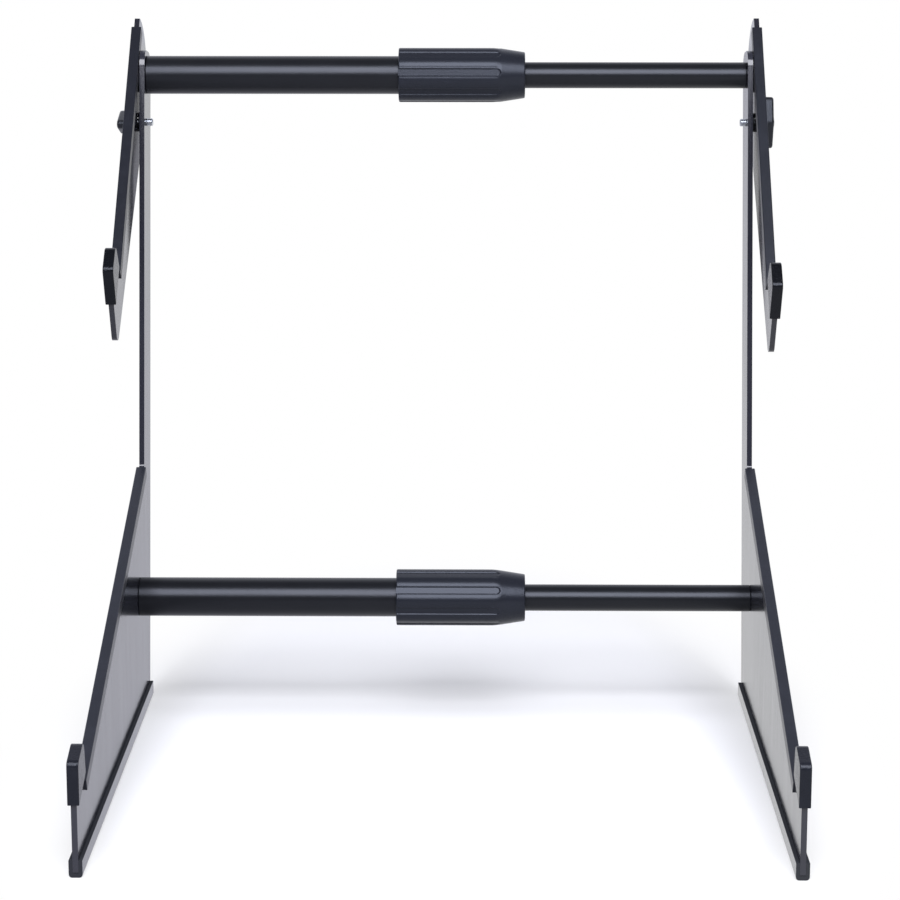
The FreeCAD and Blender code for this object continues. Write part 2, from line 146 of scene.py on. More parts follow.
class Net:
    """The node tree of one finish, or of the surround."""

    # sockets of a Mix node that mixes colours, which share their names with its other sockets
    FIRST_COLOUR, SECOND_COLOUR, MIXED_COLOUR = 6, 7, 2

    def __init__(self, owner, place="Object"):
        self.owner = owner
        owner.use_nodes = True
        self.tree = owner.node_tree
        self.tree.nodes.clear()
        self.place = self.add("TexCoord", {}, {}, place)

    def add(self, kind, settings, inputs, output=0):
        """Adds a shader node: its type, its settings, then its sockets' values or links."""
        node = self.tree.nodes.new("ShaderNode" + kind)
        for name, value in settings.items():
            setattr(node, name, value)
        for name, value in inputs.items():
            if isinstance(value, Value):
                self.tree.links.new(value.socket, node.inputs[name])
            else:
                node.inputs[name].default_value = value
        return Value(self, node.outputs[output]) if node.outputs else None

    def stretched(self, scale):
        """The place on the object, scaled along each axis."""
        return self.add("Mapping", {}, {"Vector": self.place, "Scale": scale})

    def noise(self, scale, detail, roughness, place=None):
        """Cloudy noise from 0 to 1: cells in a metre, octaves, and the weight of the finer octaves."""
        inputs = {"Vector": place or self.place, "Scale": scale, "Detail": detail, "Roughness": roughness}
        return self.add("TexNoise", {}, inputs, "Fac")

    def cells(self, scale):
        """Distance to the nearest of scattered points."""
        return self.add("TexVoronoi", {}, {"Vector": self.place, "Scale": scale}, "Distance")

    def blend(self, factor, first, second):
        """A colour between two colours."""
        first, second = (value if isinstance(value, Value) else (*value, 1.0) for value in (first, second))
        inputs = {"Factor": factor, self.FIRST_COLOUR: first, self.SECOND_COLOUR: second}
        return self.add("Mix", {"data_type": "RGBA"}, inputs, self.MIXED_COLOUR)

    def bump(self, height, distance):
        """A normal from a height in units of that distance."""
        return self.add("Bump", {}, {"Height": height, "Distance": distance}, "Normal")

    def part(self, letter, vector=None):
        """One coordinate of a vector, or of the place."""
        return self.add("SeparateXYZ", {}, {"Vector": vector or self.place}, letter)

    def ray(self, kind):
        """1 for rays of that kind, otherwise 0."""
        return self.add("LightPath", {}, {}, "Is " + kind + " Ray")

    def principled(self, inputs):
        """Closes the tree with a Principled shader and its output."""
        shader = self.add("BsdfPrincipled", {}, inputs, "BSDF")
        self.add("OutputMaterial", {}, {"Surface": shader})
        return self.owner


def finish(name):
    """The node tree of a new material."""
    return Net(bpy.data.materials.new(name))


def shade(colour, factor):
    """A lighter or darker colour."""
    return tuple(part * factor for part in colour)


def surface(name, points, close_rows=False, close_columns=True, ends=None, sharp=SHARP):
    """A smooth mesh from a grid of points, rows by columns by three.

    The two end points, if any, close the first and the last row with fans of triangles.
    """
    rows, columns = points.shape[:2]
    row = np.arange(rows if close_rows else rows - 1)[:, None]
    column = np.arange(columns if close_columns else columns - 1)[None, :]
    next_row = (row + 1) % rows
    next_column = (column + 1) % columns
    corners = (
        row * columns + column,
        row * columns + next_column,
        next_row * columns + next_column,
        next_row * columns + column,
    )
    faces = np.stack(np.broadcast_arrays(*corners), axis=-1).reshape(-1, 4).tolist()
    vertices = points.reshape(-1, 3)
    if ends is not None:
        first = np.arange(columns)
        second = (first + 1) % columns
        last = (rows - 1) * columns
        begin = np.full(columns, len(vertices))
        faces += np.stack([begin, second, first], axis=-1).tolist()
        faces += np.stack([last + first, last + second, begin + 1], axis=-1).tolist()
        vertices = np.concatenate([vertices, ends])
    mesh = bpy.data.meshes.new(name)
    mesh.from_pydata(vertices.tolist(), [], faces)
    mesh.polygons.foreach_set("use_smooth", np.ones(len(faces), bool))
    mesh.set_sharp_from_angle(angle=math.radians(sharp))
    mesh.update()
    piece = bpy.data.objects.new(name, mesh)
    bpy.context.scene.collection.objects.link(piece)
    return piece


def stacked(name, along, across, up, origin, direction=1.0, solid=False, sharp=SHARP):
    """A surface of rings stacked along X.

    Point (i, j) is the origin plus (direction * along, across, up) at (i, j). A solid is closed by a fan
    in its first and last ring, any other surface by joining its last ring to its first.
    """
    points = np.stack(np.broadcast_arrays(direction * along, across, up), axis=-1) + origin
    if direction < 0:
        points = points[::-1]
    ends = points[[0, -1]].mean(axis=1) if solid else None
    return surface(name, points, not solid, True, ends, sharp)


def turned(name, along, radii, origin, angle, direction=1.0, solid=False, sharp=SHARP):
    """Revolves a profile about an X axis: across is r cos a and up is r sin a; r may vary with a."""
    along, radii = (np.atleast_2d(np.asarray(values, float).T).T for values in (along, radii))
    across = radii * np.cos(angle)
    return stacked(name, along, across, radii * np.sin(angle), origin, direction, solid, sharp)


def even_turn(steps):
    """Angles in even steps of a full turn."""
    return np.arange(steps) * math.tau / steps


def finish_piece(piece, node, material):
    """Gives a piece its finish, hangs it on the body its CAD node rides on and hides that node."""
    piece.data.materials.append(material)
    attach(piece, frame["nodes"][node]["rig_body"])
    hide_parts(node)


def dress(node, material):
    """Gives a CAD node a finish."""
    for slot in frame["nodes"][node].material_slots:
        slot.material = material


def colour_setting(name, description, default):
    """A colour property."""
    return FloatVectorProperty(
        name=name, description=description, subtype="COLOR", size=3, min=0.0, max=1.0, default=default
    )


def length_setting(name, description, millimetres):
    """A length property with its default in millimetres."""
    default = millimetres * MM
    return FloatProperty(name=name, description=description, unit="LENGTH", min=0.0, default=default)


def angle_setting(name, description, degrees):
    """An angle property with its default in degrees."""
    default = math.radians(degrees)
    return FloatProperty(name=name, description=description, subtype="ANGLE", default=default)


def place_setting(name, description, default):
    """A place in metres."""
    return FloatVectorProperty(
        name=name, description=description, subtype="TRANSLATION", size=3, default=default
    )


def light_setting(name, description, default):
    """A light's colour, which may be brighter than white in one of its parts."""
    return FloatVectorProperty(name=name, description=description, subtype="COLOR", min=0.0, default=default)


class StandColours(PropertyGroup):
    """Colours of the stand's finishes."""

    coat: colour_setting("Powder coat", "Colour of panels and arms", (0.016, 0.0165, 0.024))
    paint: colour_setting("Tube paint", "Colour of the cross tubes", (0.0045, 0.0048, 0.006))
    rubber: colour_setting("Rubber", "Colour of trims, caps and feet", (0.0105, 0.0115, 0.0165))
    collar: colour_setting("Collar plastic", "Colour of the twist-lock collars", (0.010, 0.011, 0.0155))
    knob: colour_setting("Knob plastic", "Colour of the clamp knobs", (0.008, 0.0084, 0.01))
    zinc: colour_setting("Zinc", "Colour of the bare screw tips", (0.56, 0.58, 0.62))
    oxide: colour_setting("Black oxide", "Colour of the bolts", (0.012, 0.012, 0.013))
    nylon: colour_setting("Nylon", "Colour of washers and inner bushes", (0.02, 0.02, 0.021))
    floor: colour_setting("Floor", "Colour of the table under the stand", (0.8, 0.796, 0.788))


class StandSizes(PropertyGroup):
    """Sizes of the stand's visible detail."""

    rib_count: IntProperty(name="Ribs", description="Ribs round a collar", min=3, default=8)
    groove_width: length_setting("Groove width", "Width of a collar's grip grooves", 6.2)
    groove_depth: length_setting("Groove depth", "Depth of a collar's grip grooves", 1.2)
    groove_wall: length_setting("Groove wall", "Width over which a groove's wall slopes", 1.15)
    rib_crown: length_setting("Rib crown", "How far a rib falls from its middle to a groove", 0.45)
    groove_overrun: length_setting("Groove overrun", "How far a groove runs onto the taper", 4.0)
    upper_groove: angle_setting("Upper groove", "Angle of an upper groove above the front", 11.0)
    lower_groove: angle_setting("Lower groove", "Angle of a lower groove above the front", 31.0)
    collar_taper: length_setting("Collar taper", "Length of a collar's smooth conical nose", 19.0)
    collar_bend: length_setting("Collar bend", "Softness of the bend at the nose", 1.0)
    collar_mouth: length_setting("Collar mouth", "Outer radius at a collar's nose", 14.5)
    collar_gap: length_setting("Collar gap", "Gap between a collar's bores and what they hold", 0.3)
    cone_fall: length_setting("Cone fall", "How far the clamping cone in a collar narrows", 2.0)
    room_overlap: length_setting("Room overlap", "How far a collar's thread room covers the outer tube", 2.0)
    edge: length_setting("Edge", "Radius of moulded edges", 0.8)
    tube_wall: length_setting("Tube wall", "Thickness of the tubes' walls", 1.5)
    bolt_diameter: length_setting("Bolt diameter", "Diameter of a bolt's shank", 6.0)
    head_height: length_setting("Head height", "Height of a bolt's dome", 3.2)
    socket_across: length_setting("Socket", "Width across the flats of a bolt's socket", 4.0)
    socket_depth: length_setting("Socket depth", "Depth of a bolt's socket", 2.0)
    bolt_lip: length_setting("Bolt lip", "Small chamfers of a bolt's shank, head and socket", 0.2)
    thread_pitch: length_setting("Thread pitch", "Pitch of the clamp screws", 0.8)
    thread_depth: length_setting("Thread depth", "Depth of the clamp screws' threads", 0.4)
    screw_chamfer: length_setting("Screw chamfer", "Chamfer of a clamp screw's tip", 0.6)
    knob_tip: length_setting("Knob tip", "Radius of a knob's wing tips", 3.25)
    knob_edge: length_setting("Knob edge", "Radius of a knob's outer rim", 1.4)
    knob_foot: length_setting("Knob foot", "Chamfer where a knob meets the arm", 0.4)
    knob_draft: length_setting("Knob draft", "How far a knob's side leans in", 0.25)
    crown_radius: length_setting("Crown radius", "Radius of the crown on a knob's hub", 5.5)
    crown_height: length_setting("Crown height", "Height of the crown on a knob's hub", 0.9)


class StageSizes(PropertyGroup):
    """Camera and light."""

    lens: FloatProperty(name="Lens", description="Focal length on a 36 mm sensor", min=1.0, default=101.39)
    camera_place: place_setting("Camera place", "Where the camera stands", (0.01833, -1.45431, 0.52592))
    camera_pitch: angle_setting("Camera pitch", "How far the camera looks down", 10.683)
    camera_yaw: angle_setting("Camera yaw", "How far the camera looks to the left", 0.564)
    camera_shift: FloatProperty(
        name="Camera shift", description="Upward shift of the frame in frame heights", default=-0.12
    )
    key_place: place_setting("Lamp place", "Where the soft lamp hangs", (0.05, -1.5, 1.6))
    key_aim: place_setting("Lamp aim", "What the soft lamp points at", (0.0, 0.05, 0.15))
    key_size: FloatVectorProperty(
        name="Lamp size", description="Width and height of the soft lamp", subtype="XYZ_LENGTH", size=2,
        default=(1.5, 1.35),
    )
    key_power: FloatProperty(name="Lamp power", description="Power of the soft lamp", min=0.0, default=68.0)
    key_colour: light_setting("Lamp colour", "Colour of the soft lamp", (0.96, 0.975, 1.05))
    surround: FloatProperty(
        name="Surround", description="Light of the tent on the stand", min=0.0, default=0.56
    )
    tent_colour: light_setting("Tent colour", "Colour of the tent's light", (0.94, 0.96, 1.06))
    gloom: FloatProperty(
        name="Gloom", description="Brightness of the tent's dim part, in reflections and in its light",
        min=0.0, default=0.12,
    )
    top_light: FloatProperty(
        name="Top light", description="Brightness of the tent's top in its light", min=0.0, default=7.0
    )
    top_lean: angle_setting("Top lean", "How far the tent's bright top leans to the front", 16.2602)
    table_reach: length_setting("Table reach", "How far the table goes from the middle", 6000.0)
    near_white: FloatProperty(
        name="Near white", description="Share of plain white in the table near the stand", subtype="FACTOR",
        min=0.0, max=1.0, default=0.06,
    )
    white_begin: length_setting("White begin", "Where the table begins to turn plain white", 270.0)
    white_end: length_setting("White end", "Where the table is plain white", 450.0)
    white_squeeze: FloatProperty(
        name="White squeeze", description="How much sooner that happens to the sides", min=0.0, default=1.7
    )
    # painted reflection: emitted colours that reflections show of the table's left and right halves
    left_painted_reflection: colour_setting("Left shine", "The table's left half in reflections", (0.75, 0.755, 0.85))
    right_painted_reflection: colour_setting("Right shine", "The table's right half in reflections", (0.98, 0.985, 1.0))
    painted_reflection_reach: length_setting("Shine reach", "Where each half has its full shine", 300.0)


def settings():
    """The scene's three groups of settings."""
    scene = bpy.context.scene
    return scene.stand_colours, scene.stand_sizes, scene.stand_stage


def coat_finish(name, colour, roughness, gloss, peel):
    """Satin powder coat: fine orange peel, faint upright streaks, cloudy sheen and a few duller specks."""
    net = finish(name)
    hills = net.noise(950.0, 2.0, 0.5)
    grain = net.noise(3200.0, 2.0, 0.6)
    cloud = net.noise(22.0, 4.0, 0.6)
    streak = net.noise(1.0, 3.0, 0.6, net.stretched((120.0, 120.0, 7.0)))
    speck = 1.0 - net.cells(420.0).between(0.06, 0.12)
    rough = roughness + cloud.swing(0.05) + streak.swing(0.08) + grain.swing(0.04) + speck * 0.05
    tone = net.blend(cloud * 0.5 + streak * 0.5, shade(colour, 0.88), shade(colour, 1.14))
    normal = net.bump(hills + grain * 0.25, peel)
    inputs = {"Base Color": tone, "Roughness": rough, "Normal": normal, "Specular IOR Level": gloss}
    return net.principled(inputs)


def paint_finish(name, colour):
    """Smooth black tube paint with faint drawing lines along X and a slight ripple."""
    net = finish(name)
    lines = net.noise(1.0, 3.0, 0.6, net.stretched((14.0, 1400.0, 1400.0)))
    ripple = net.noise(180.0, 2.0, 0.5)
    cloud = net.noise(30.0, 3.0, 0.6)
    rough = 0.3 + lines.swing(0.08) + cloud.swing(0.08)
    tone = net.blend(cloud, shade(colour, 0.85), shade(colour, 1.25))
    normal = net.bump(ripple + lines * 0.2, 0.015 * MM)
    inputs = {"Base Color": tone, "Roughness": rough, "Normal": normal, "Specular IOR Level": 0.3}
    return net.principled({**inputs, "Specular Tint": (0.84, 0.88, 1.0, 1.0)})


def rubber_finish(name, colour, roughness, gloss, dull_top=0.0, scale=2600.0, relief=0.02 * MM):
    """Black rubber: mould grain, slightly paler and duller patches, and duller faces on top if asked."""
    net = finish(name)
    grain = net.noise(scale, 2.0, 0.6)
    patch = net.noise(60.0, 4.0, 0.65).between(0.45, 0.8)
    top = net.part("Z", net.add("NewGeometry", {}, {}, "Normal")).between(0.3, 0.8)
    rough = roughness + grain.swing(0.12) + patch * 0.06 + top * dull_top
    tone = net.blend(patch, colour, shade(colour, 1.3))
    normal = net.bump(grain, relief)
    inputs = {"Base Color": tone, "Roughness": rough, "Normal": normal, "Specular IOR Level": gloss}
    return net.principled({**inputs, "Specular Tint": (0.86, 0.9, 1.0, 1.0)})


def plastic_finish(name, colour, roughness, gloss, scale, relief):
    """Spark-grained moulded plastic: pebbly grain, rubbed a little smoother in places."""
    net = finish(name)
    pebble = net.cells(scale)
    fine = net.noise(scale * 1.7, 2.0, 0.6)
    rubbed = net.noise(45.0, 3.0, 0.6).between(0.5, 0.8)
    rough = roughness + fine.swing(0.15) - rubbed * 0.06
    tone = net.blend(rubbed * 0.5 + fine * 0.3, colour, shade(colour, 1.4))
    normal = net.bump(pebble + fine * 0.6, relief)
    inputs = {"Base Color": tone, "Roughness": rough, "Normal": normal, "Specular IOR Level": gloss}
    return net.principled({**inputs, "Specular Tint": (0.8, 0.86, 1.0, 1.0)})


def zinc_finish(name, colour):
    """Bright zinc plating with fine turning lines and dull patches."""
    net = finish(name)
    lines = net.noise(1.0, 2.0, 0.5, net.stretched((6000.0, 300.0, 300.0)))
    dull = net.noise(700.0, 3.0, 0.6).between(0.45, 0.75)
    rough = 0.24 + dull * 0.2 + lines.swing(0.1)
    tone = net.blend(dull, colour, shade(colour, 0.8))
    normal = net.bump(lines, 0.01 * MM)
    return net.principled({"Base Color": tone, "Roughness": rough, "Normal": normal, "Metallic": 1.0})


def oxide_finish(name, colour):
    """Blackened bolt: dark oil-black with greyer rubbed spots."""
    net = finish(name)
    rubbed = net.noise(500.0, 4.0, 0.65).between(0.5, 0.8)
    fine = net.noise(4000.0, 2.0, 0.5)
    rough = 0.36 + fine.swing(0.15) - rubbed * 0.08
    tone = net.blend(rubbed, colour, shade(colour, 2.5))
    normal = net.bump(fine, 0.015 * MM)
    return net.principled({"Base Color": tone, "Roughness": rough, "Normal": normal, "Metallic": 0.3})


class STAND_OT_panels(Operator):
    """Powder coat on the side panels and the tilting arms"""

    bl_idname = "stand.panels"
    bl_label = "Panels and arms"

    def execute(self, context):
        colour = tuple(settings()[0].coat)
        panel = coat_finish("panel_coat", colour, roughness=0.17, gloss=0.6, peel=0.010 * MM)
        # painted shade: the arms take a darker copy of the panels' powder coat, 0.75 of its colour
        arm = coat_finish("arm_coat_painted_shade", shade(colour, 0.75), roughness=0.13, gloss=0.5, peel=0.005 * MM)
        for side in SIDES:
            dress(side + "_panel", panel)
            dress(side + "_arm", arm)
        return {"FINISHED"}


class STAND_OT_rubber(Operator):
    """Rubber on trims, hook caps and feet"""

    bl_idname = "stand.rubber"
    bl_label = "Rubber trims, caps and feet"

    def execute(self, context):
        colour = tuple(settings()[0].rubber)
        tray_trim = {"roughness": 0.32, "gloss": 0.39}
        arm_trim = {"roughness": 0.32, "gloss": 0.2}
        hook_cap = {"roughness": 0.22, "gloss": 0.2, "scale": 800.0, "relief": 0.15 * MM}
        arm_cap = {"roughness": 0.2, "gloss": 0.2, "scale": 800.0, "relief": 0.15 * MM}
        foot = {"roughness": 0.15, "gloss": 0.7, "dull_top": 0.8}
        # painted shade: all but the tray trims take darker copies of the one rubber colour, 0.85 of it for
        # the arm trims, 0.75 for the hook caps, 0.25 for the arm caps and 0.3 for the feet
        finishes = {
            "_tray_trim": rubber_finish("tray_trim_rubber", colour, **tray_trim),
            "_arm_trim": rubber_finish("arm_trim_rubber_painted_shade", shade(colour, 0.85), **arm_trim),
            "_hook_cap": rubber_finish("hook_cap_rubber_painted_shade", shade(colour, 0.75), **hook_cap),
            "_arm_cap": rubber_finish("arm_cap_rubber_painted_shade", shade(colour, 0.25), **arm_cap),
            "_foot": rubber_finish("foot_rubber_painted_shade", shade(colour, 0.3), **foot),
        }
        for side in SIDES:
            for name, rubber in finishes.items():
                dress(side + name, rubber)
        return {"FINISHED"}


class STAND_OT_tubes(Operator):
    """Smooth cross tubes with chamfered rims"""

    bl_idname = "stand.tubes"
    bl_label = "Cross tubes"

    steps: IntProperty(name="Steps", description="Facets round a tube", min=8, default=96)

    def tube(self, node, wall):
        """A pipe's closed profile, outer wall and bore, with small chamfered rims."""
        begin, end = low(node)[0], high(node)[0]
        outer = radius(node)
        bore = outer - wall
        rim = wall / 4
        along = [begin, begin, begin + rim, end - rim, end, end, end - rim, begin + rim]
        radii = [bore + rim, outer - rim, outer, outer, outer - rim, bore + rim, bore, bore]
        return turned("tube_" + node, along, radii, axis_of(node), even_turn(self.steps))

    def execute(self, context):
        colours, sizes, _ = settings()
        paint = paint_finish("tube_paint", tuple(colours.paint))
        for level in LEVELS:
            for node in (level + "_outer_tube", level + "_inner_tube"):
                finish_piece(self.tube(node, sizes.tube_wall), node, paint)
        return {"FINISHED"}


class STAND_OT_collars(Operator):
    """Twist-lock collars with round-ended grip grooves and a smooth conical nose"""

    bl_idname = "stand.collars"
    bl_label = "Twist-lock collars"

    # columns over a rib's half, a groove's wall, its floor, the other wall and the next rib's half
    COLUMNS = (6, 12, 10, 12, 6)
    # shares of a groove's half width between which its wall lies
    WALL_SPAN = (0.6, 1.03)
    # rings along the grip, along the grooves' round ends and along the cone
    RINGS = (12, 36, 9)
    # how far before the nose and past the grooves the close rings reach
    CLOSE_SPAN = (4 * MM, 1 * MM)

    def angles(self, sizes, rim):
        """Angles from a groove's middle across one rib's pitch, closest together at the groove's walls."""
        half_pitch = math.pi / sizes.rib_count
        wall = math.asin(sizes.groove_width / 2 / rim)
        inner, outer = (wall * share for share in self.WALL_SPAN)
        stops = (-half_pitch, -outer, -inner, inner, outer, half_pitch)
        spans = zip(stops, stops[1:], self.COLUMNS)
        return np.concatenate([np.linspace(*ends, count, endpoint=False) for *ends, count in spans])

    def outside(self, node, sizes):
        """(x, r) from skirt to mouth: rounded end, straight grip, soft bend into the cone, rounded end."""
        begin, end = low(node)[0], high(node)[0]
        outer, edge = radius(node), sizes.edge
        bend = np.linspace(0.0, math.pi / 2, 6)
        nose = end - sizes.collar_taper
        before, after = self.CLOSE_SPAN
        close_begin, close_end = nose - before, nose + sizes.groove_overrun + after
        grip, close, cone = self.RINGS
        parts = (
            np.linspace(begin + edge, close_begin, grip, endpoint=False),
            np.linspace(close_begin, close_end, close, endpoint=False),
            np.linspace(close_end, end - edge, cone),
        )
        along = np.concatenate(parts)
        fall = (outer - sizes.collar_mouth) / sizes.collar_taper
        past = np.logaddexp(0.0, (along - nose) / sizes.collar_bend) * sizes.collar_bend
        radii = outer - fall * past
        first, last = bend[:-1], bend[1:]
        skirt_along, skirt = begin + edge * (1 - np.cos(first)), outer - edge * (1 - np.sin(first))
        mouth_along, mouth = end - edge * (1 - np.sin(last)), radii[-1] - edge * (1 - np.cos(last))
        return np.concatenate([skirt_along, along, mouth_along]), np.concatenate([skirt, radii, mouth])

    def inside(self, level, sizes):
        """(x, r) of the bores from mouth back to skirt: mouth, clamping cone, thread room and skirt."""
        node, collet, gap = level + "_collar", level + "_collet", sizes.collar_gap
        cone_begin, cone_end = low(collet)[0] + gap, high(collet)[0] + gap
        cone = radius(collet)
        mouth = radius(level + "_inner_tube") + gap
        room = radius(level + "_ferrule") + gap / 3
        room_begin = high(level + "_outer_tube")[0] - sizes.room_overlap
        skirt = radius(level + "_outer_tube") + gap
        end, begin = high(node)[0], low(node)[0]
        along = [end, cone_end, cone_end, cone_begin, cone_begin, room_begin, room_begin, begin]
        return along, [mouth, mouth, cone - sizes.cone_fall, cone, room, room, skirt, skirt]

    def collar(self, level, angle, sizes):
        """The outside's radius, less the crown of its ribs, cut down to flat-floored slots.

        A slot's floor is a plane, so its radius is the floor's height over the cosine of the angle from its
        middle. The cut fades in over the wall's width inside a slot with a half-round end. A rib falls with
        the square of the angle from its middle, less and less along the slot's round end.
        """
        node = level + "_collar"
        offsets = self.angles(sizes, radius(node))
        along, radii = self.outside(node, sizes)
        half = sizes.groove_width / 2
        slot_end = high(node)[0] - sizes.collar_taper + sizes.groove_overrun - half
        past = np.maximum(along - slot_end, 0.0)[:, None]
        inset = half - np.hypot(radii[:, None] * np.sin(offsets), past)
        wall = np.clip(inset / sizes.groove_wall, 0.0, 1.0)
        ground = (radius(node) - sizes.groove_depth) / np.cos(offsets)
        cut = np.maximum(radii[:, None] - ground, 0.0) * wall**2 * (3 - 2 * wall)
        half_pitch = math.pi / sizes.rib_count
        aside = np.minimum((half_pitch - np.abs(offsets)) / (half_pitch - half / radius(node)), 1.0)
        crown = sizes.rib_crown * aside**2 * np.clip(1 - past / half, 0.0, 1.0)
        depth = np.maximum(cut, crown)
        inner_along, inner_radii = self.inside(level, sizes)
        inner = np.repeat(np.array(inner_radii)[:, None], len(offsets), axis=1)
        rings = np.tile(np.concatenate([radii[:, None] - depth, inner]), sizes.rib_count)
        turns = even_turn(sizes.rib_count)[:, None] + offsets + math.pi - angle
        along = np.concatenate([along, inner_along])
        return turned("collar_" + level, along, rings, axis_of(node), turns.ravel())

    def execute(self, context):
        colours, sizes, _ = settings()
        look = {"roughness": 0.29, "gloss": 0.26, "scale": 2600.0, "relief": 0.012 * MM}
        plastic = plastic_finish("collar_plastic", tuple(colours.collar), **look)
        for level, angle in zip(LEVELS, (sizes.upper_groove, sizes.lower_groove)):
            finish_piece(self.collar(level, angle, sizes), level + "_collar", plastic)
        return {"FINISHED"}


class STAND_OT_bolts(Operator):
    """Dome-head bolts with hexagon sockets"""

    bl_idname = "stand.bolts"
    bl_label = "Bolts"

    steps: IntProperty(
        name="Steps", description="Facets round a bolt, a multiple of twelve", min=12, default=60
    )

    def bolt(self, node, sizes):
        """A shank and a spherical dome.

        The socket's radius is half its width across flats over the cosine of the angle to the nearest flat.
        """
        origin, length, direction = outwards(node)
        angle = even_turn(self.steps)
        flat = (angle + math.pi / 6) % (math.pi / 3) - math.pi / 6
        socket = sizes.socket_across / 2 / np.cos(flat)
        head, height = radius(node), sizes.head_height
        ball = (head**2 + height**2) / (2 * height)
        shank, lip = sizes.bolt_diameter / 2, sizes.bolt_lip
        # from just inside the head's rim to the socket
        share = np.linspace(0.04, 1.0, 9)[:, None]
        dome = head * (1 - share) + (socket + lip) * share
        dome_along = length - ball + np.sqrt(ball**2 - dome**2)
        level = np.ones(self.steps)
        foot_radii = np.array([shank - lip, shank, shank, head - lip])[:, None] * level
        foot_along = np.array([0.0, lip, length - height, length - height])[:, None] * level
        ground, socket = (length - sizes.socket_depth) * level[None], socket[None]
        along = np.concatenate([foot_along, dome_along, dome_along[-1:] - lip, ground, ground - lip])
        radii = np.concatenate([foot_radii, dome, socket, socket, socket / 2])
        return turned("bolt_" + node, along, radii, origin, angle, direction, solid=True)

    def execute(self, context):
        colours, sizes, _ = settings()
        oxide = oxide_finish("bolt_oxide", tuple(colours.oxide))
        for side in SIDES:
            for node in (side + "_pivot_bolt", side + "_lower_bolt"):
                finish_piece(self.bolt(node, sizes), node, oxide)
        return {"FINISHED"}


class STAND_OT_knobs(Operator):
    """Wing knobs and their threaded screws"""

    bl_idname = "stand.knobs"
    bl_label = "Clamp knobs"

    # facets round a clamp screw, and rings in one pitch of its thread
    SCREW_STEPS = 40
    SCREW_RINGS = 10
    # how far past its crest the thread's slope would reach, which leaves the crest flat
    CREST_OVERSHOOT = 1.25

    steps: IntProperty(
        name="Steps", description="Points along each arc of a knob's outline", min=4, default=20
    )

    def knob(self, node, sizes):
        """The hull of a hub and two tip circles: a circle's centre plus its radius times the normal.

        Insetting takes the inset off that radius and rounds the rim. The top runs in to a spherical crown.
        """
        origin, length, direction = outwards(node)
        extent = high(node) - low(node)
        hub, tip = min(extent[1:]) / 2, sizes.knob_tip
        reach = max(extent[1:]) / 2 - tip
        lean = math.acos((hub - tip) / reach)
        stops = (-lean, lean, math.pi - lean, math.pi + lean, math.tau - lean)
        normal = np.concatenate([np.linspace(*ends, self.steps) for ends in zip(stops, stops[1:])])
        centre = np.repeat([reach, 0.0, -reach, 0.0], self.steps)
        rounding = np.repeat([tip, hub, tip, hub], self.steps)
        top, edge, draft = length - sizes.crown_height, sizes.knob_edge, sizes.knob_draft
        bend, foot = np.linspace(0.0, math.pi / 2, 7), sizes.knob_foot
        inset = np.concatenate([[foot, 0.0], draft + edge * (1 - np.cos(bend))])[:, None]
        side_along = np.concatenate([[0.0, foot], top - edge * (1 - np.sin(bend))])[:, None]
        across = centre + (rounding - inset) * np.cos(normal)
        up = (rounding - inset) * np.sin(normal)
        crown, height = sizes.crown_radius, sizes.crown_height
        far = np.hypot(across[-1], up[-1])
        ball = (crown**2 + height**2) / (2 * height)
        run_in = np.linspace(0.0, 1.0, 5)[1:, None]
        crown_share = np.linspace(0.9, 0.1, 8)[:, None] * np.ones(len(far))
        rings = np.concatenate([far * (1 - run_in) + crown * run_in, crown * crown_share])
        rise = np.sqrt(ball**2 - np.minimum(rings, crown) ** 2) - (ball - height)
        across = np.concatenate([across, rings * across[-1] / far])
        up = np.concatenate([up, rings * up[-1] / far])
        along = np.concatenate([side_along * np.ones(len(far)), top + rise])
        if extent[2] > extent[1]:
            across, up = -up, across
        return stacked("knob_" + node, along, across, up, origin, direction, solid=True)

    def screw(self, node, sizes):
        """A helical thread: the radius falls away from its flat crest, which moves a pitch in each turn."""
        origin, length, direction = outwards(node)
        angle = even_turn(self.SCREW_STEPS)
        along = np.linspace(0.0, length, int(length / sizes.thread_pitch * self.SCREW_RINGS))
        crest = np.abs((along[:, None] / sizes.thread_pitch - angle / math.tau) % 1.0 * 2 - 1)
        fall = sizes.thread_depth * (1 - np.minimum(crest * self.CREST_OVERSHOOT, 1.0))
        chamfer = np.maximum(sizes.screw_chamfer - along[:, None], 0.0)
        radii = radius(node) - np.maximum(fall, chamfer)
        return turned("screw_" + node, along, radii, origin, angle, direction, solid=True, sharp=60.0)

    def execute(self, context):
        colours, sizes, _ = settings()
        look = {"roughness": 0.34, "gloss": 0.36, "scale": 1500.0, "relief": 0.06 * MM}
        plastic = plastic_finish("knob_plastic", tuple(colours.knob), **look)
        zinc = zinc_finish("screw_zinc", tuple(colours.zinc))
        for side in SIDES:
            finish_piece(self.knob(side + "_knob", sizes), side + "_knob", plastic)
            finish_piece(self.screw(side + "_knob_stud", sizes), side + "_knob_stud", zinc)
        return {"FINISHED"}


class STAND_OT_bushes(Operator):
    """Nylon on the washers and the hidden bushes"""

    bl_idname = "stand.bushes"
    bl_label = "Washers and bushes"

    def execute(self, context):
        look = {"roughness": 0.45, "gloss": 0.4, "scale": 3000.0, "relief": 0.01 * MM}
        nylon = plastic_finish("nylon", tuple(settings()[0].nylon), **look)
        for side in SIDES:
            dress(side + "_friction_washer", nylon)
            dress(side + "_clamp_spacer", nylon)
        for level in LEVELS:
            for name in ("_glide", "_ferrule", "_collet", "_left_plug", "_right_plug"):
                dress(level + name, nylon)
        return {"FINISHED"}


